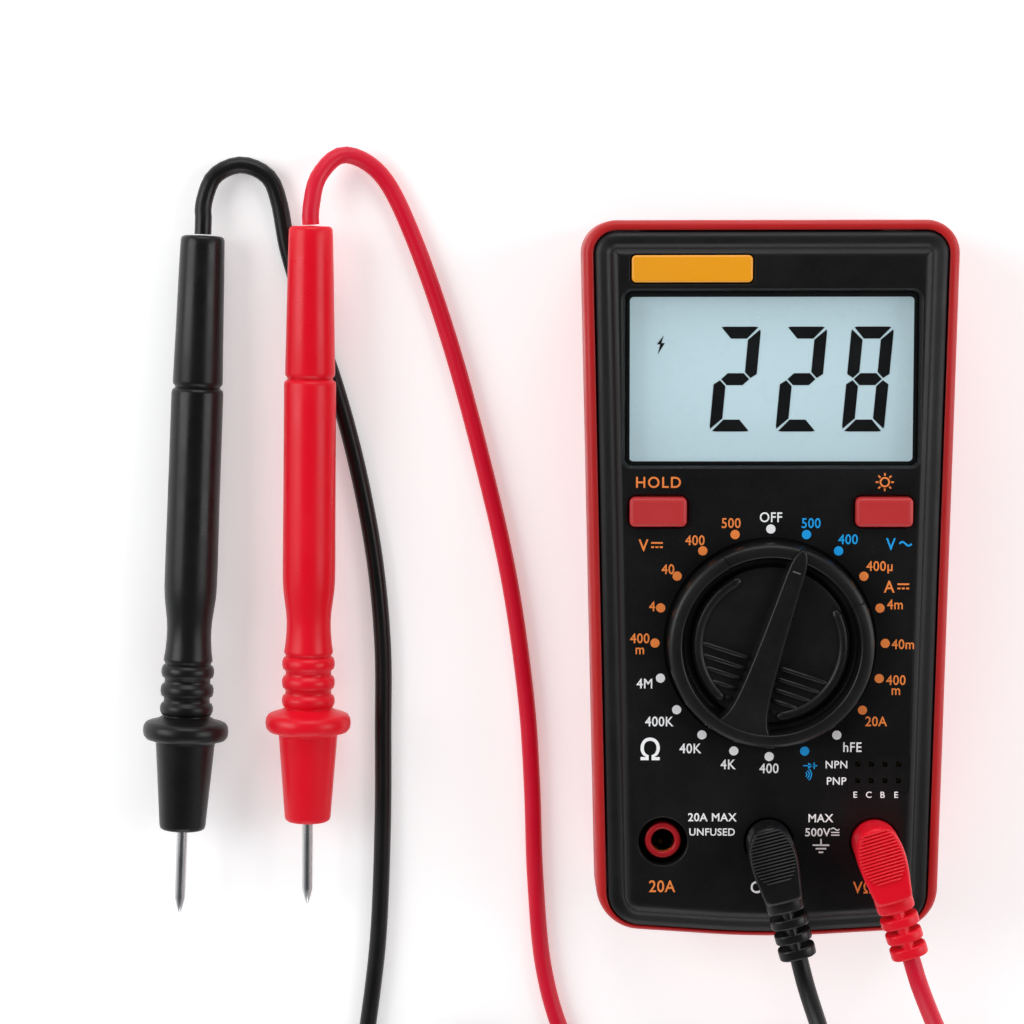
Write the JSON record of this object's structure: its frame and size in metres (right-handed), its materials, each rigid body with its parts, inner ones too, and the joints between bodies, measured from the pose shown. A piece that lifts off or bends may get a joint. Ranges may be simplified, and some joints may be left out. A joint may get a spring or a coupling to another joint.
{
  "type": "pocket digital multimeter",
  "caption": "Pocket digital multimeter with a turning range selector, two keys, a segment display and a red and a black test lead with plugs and probes.",
  "frame": {"origin": "under the middle of the meter's case, on the surface it lies on", "axes": "+Y towards the display end, +X to the right of the face, +Z out of the face"},
  "size_m": [0.169, 0.2209, 0.0456],
  "materials": {
    "case_red": "satin moulded",
    "case_black": "fine moulded grain",
    "key_red": "satin",
    "badge_amber": "printed plate",
    "clear_plastic": "clear, polished",
    "lcd_grey": "grey-blue, backlit",
    "white_plastic": "satin",
    "board_green": "solder mask",
    "chip_black": "moulded",
    "fuse_glass": "clear",
    "trimmer_blue": "satin",
    "brass": "bright",
    "steel": "nickel plated",
    "rubber_grey": "matt",
    "battery_wrap": "printed steel can",
    "lead_red": "soft, satin",
    "lead_black": "soft, satin"
  },
  "bodies": {
    "meter": {"backlight_panel": "white_plastic", "badge_plate": "badge_amber", "battery_9v": "battery_wrap", "battery_door": "case_red", "battery_door_screw": "steel", "battery_snap": "rubber_grey", "battery_wire_black": "lead_black", "battery_wire_red": "lead_red", "buzzer_disc": "brass", "case_screw_1": "steel", "case_screw_2": "steel", "case_screw_3": "steel", "case_screw_4": "steel", "controller_chip": "chip_black", "cord_black_coil": "lead_black", "cord_black_drop": "lead_black", "cord_black_run": "lead_black", "cord_black_tail": "lead_black", "cord_red_coil": "lead_red", "cord_red_drop": "lead_red", "cord_red_run": "lead_red", "display_window": "clear_plastic", "front_case": "case_black", "fuse": "fuse_glass", "fuse_clip_1": "brass", "fuse_clip_2": "brass", "hold_switch": "chip_black", "jack_10a": "brass", "jack_collar_10a": "key_red", "jack_collar_com": "lead_black", "jack_collar_volt": "key_red", "jack_com": "brass", "jack_volt": "brass", "lcd_frame": "chip_black", "lcd_glass": "lcd_grey", "light_switch": "chip_black", "main_board": "board_green", "probe_handle_black": "lead_black", "probe_handle_red": "lead_red", "probe_tip_black": "steel", "probe_tip_red": "steel", "rear_case": "case_red", "reference_trimmer": "trimmer_blue", "shunt_wire": "brass", "transistor_socket": "case_black", "zebra_strip": "rubber_grey"},
    "selector": {"selector_knob": "case_black", "contact_carrier": "white_plastic", "contact_brush_1": "brass", "contact_brush_2": "brass", "detent_ball_1": "steel", "detent_ball_2": "steel", "detent_spring_1": "steel", "detent_spring_2": "steel"},
    "hold_key": {"hold_button": "key_red"},
    "light_key": {"light_button": "key_red"},
    "black_plug": {"plug_black": "lead_black", "plug_pin_black": "steel"},
    "red_plug": {"plug_red": "lead_red", "plug_pin_red": "steel"}
  },
  "joints": [
    {"name": "selector_turn", "type": "hinge", "parent": "meter", "child": "selector", "pos_m": [0, -0.0105, 0.031], "axis": [0, 0, 1], "continuous": true},
    {"name": "hold_press", "type": "slide", "parent": "meter", "child": "hold_key", "axis": [0, 0, -1], "range_m": [0, 0.0008], "stiffness_N_per_m": 500},
    {"name": "light_press", "type": "slide", "parent": "meter", "child": "light_key", "axis": [0, 0, -1], "range_m": [0, 0.0008], "stiffness_N_per_m": 500},
    {"name": "black_plug_pull", "type": "slide", "parent": "meter", "child": "black_plug", "axis": [0, 0, 1], "range_m": [0, 0.02], "deforming": ["cord_black_drop"]},
    {"name": "red_plug_pull", "type": "slide", "parent": "meter", "child": "red_plug", "axis": [0, 0, 1], "range_m": [0, 0.02], "deforming": ["cord_red_drop"]}
  ]
}
